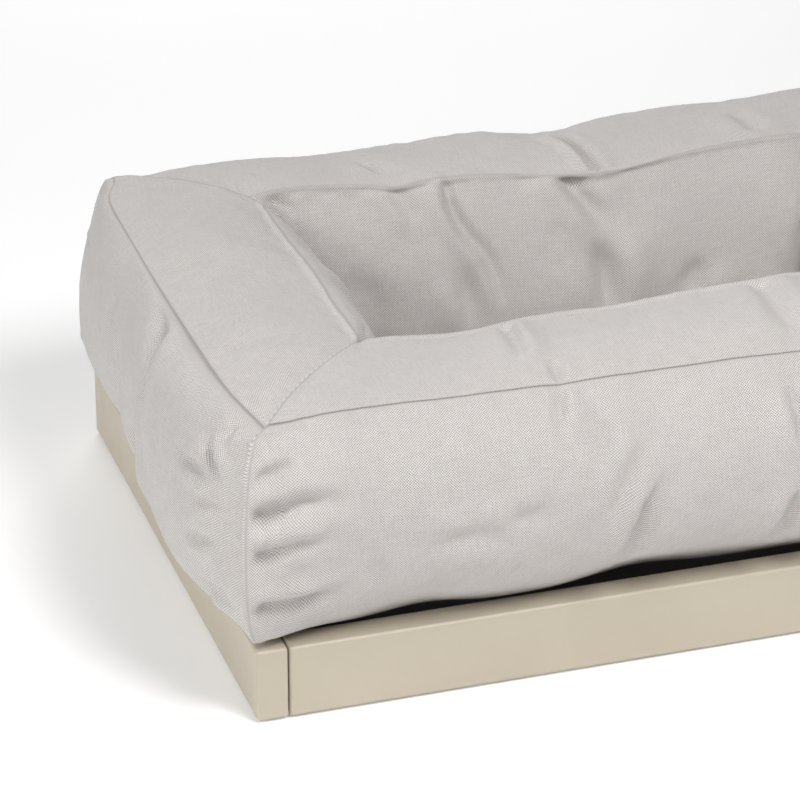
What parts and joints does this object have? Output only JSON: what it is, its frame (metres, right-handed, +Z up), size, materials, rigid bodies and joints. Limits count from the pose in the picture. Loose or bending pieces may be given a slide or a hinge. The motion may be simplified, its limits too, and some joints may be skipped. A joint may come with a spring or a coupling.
{
  "type": "dog bed with frame",
  "caption": "Rectangular dog bed: a bolster cushion ring with a lift-out pad, dropped into a low painted wooden frame with a panel base on battens.",
  "frame": {"origin": "on the floor under the middle of the bed", "axes": "+Z up, +X along the long side to the right as seen from the front, front at -Y"},
  "size_m": [0.811, 0.576, 0.258],
  "materials": {
    "frame_paint": "satin greige paint on wood",
    "dowel_beech": "bare beech",
    "batten_pine": "bare pine",
    "panel_plywood": "sanded plywood",
    "bracket_steel": "zinc plated",
    "screw_steel": "zinc plated",
    "glide_felt": "pressed felt",
    "cover_twill": "matt warm grey twill",
    "fibre_fill": "loose white fibre",
    "base_cloth": "black bonded cloth",
    "pad_foam": "open-cell foam",
    "zip_tape": "woven tape",
    "zip_nickel": "satin nickel"
  },
  "bodies": {
    "frame": {"left_board": "frame_paint", "right_board": "frame_paint", "front_board": "frame_paint", "back_board": "frame_paint", "dowel_front_left_lower": "dowel_beech", "dowel_front_left_upper": "dowel_beech", "dowel_front_right_lower": "dowel_beech", "dowel_front_right_upper": "dowel_beech", "dowel_back_right_lower": "dowel_beech", "dowel_back_right_upper": "dowel_beech", "dowel_back_left_lower": "dowel_beech", "dowel_back_left_upper": "dowel_beech", "corner_bracket_front_left": "bracket_steel", "corner_bracket_front_left_side_screw": "screw_steel", "corner_bracket_front_left_cross_screw": "screw_steel", "corner_bracket_front_right": "bracket_steel", "corner_bracket_front_right_side_screw": "screw_steel", "corner_bracket_front_right_cross_screw": "screw_steel", "corner_bracket_back_right": "bracket_steel", "corner_bracket_back_right_side_screw": "screw_steel", "corner_bracket_back_right_cross_screw": "screw_steel", "corner_bracket_back_left": "bracket_steel", "corner_bracket_back_left_side_screw": "screw_steel", "corner_bracket_back_left_cross_screw": "screw_steel", "front_batten": "batten_pine", "front_batten_screw_a": "screw_steel", "front_batten_screw_b": "screw_steel", "back_batten": "batten_pine", "back_batten_screw_a": "screw_steel", "back_batten_screw_b": "screw_steel", "left_batten": "batten_pine", "left_batten_screw_a": "screw_steel", "left_batten_screw_b": "screw_steel", "right_batten": "batten_pine", "right_batten_screw_a": "screw_steel", "right_batten_screw_b": "screw_steel", "centre_rail": "batten_pine", "base_panel": "panel_plywood", "panel_screw_front_left": "screw_steel", "panel_screw_front_right": "screw_steel", "panel_screw_back_left": "screw_steel", "panel_screw_back_right": "screw_steel", "glide_front_left": "glide_felt", "glide_front_right": "glide_felt", "glide_back_right": "glide_felt", "glide_back_left": "glide_felt"},
    "bolster_bed": {"bolster_cover": "cover_twill", "front_bolster_fill": "fibre_fill", "back_bolster_fill": "fibre_fill", "left_bolster_fill": "fibre_fill", "right_bolster_fill": "fibre_fill", "base_cloth": "base_cloth", "zip_tape_upper": "zip_tape", "zip_tape_lower": "zip_tape"},
    "pad": {"pad_cover": "cover_twill", "pad_foam": "pad_foam"},
    "zip_slider": {"zip_slider": "zip_nickel"},
    "zip_pull": {"zip_pull": "zip_nickel"}
  },
  "joints": [
    {"name": "bed_lift", "type": "slide", "parent": "frame", "child": "bolster_bed", "axis": [0, 0, 1], "range_m": [0, 0.1]},
    {"name": "pad_lift", "type": "slide", "parent": "bolster_bed", "child": "pad", "axis": [0, 0, 1], "range_m": [0, 0.22]},
    {"name": "zip_slide", "type": "slide", "parent": "bolster_bed", "child": "zip_slider", "axis": [1, 0, 0], "range_m": [0, 0.47]},
    {"name": "zip_pull_hinge", "type": "hinge", "parent": "zip_slider", "child": "zip_pull", "pos_m": [-0.235, 0.27852, 0.09666], "axis": [1, 0, 0], "range_deg": [-20, 120]}
  ]
}
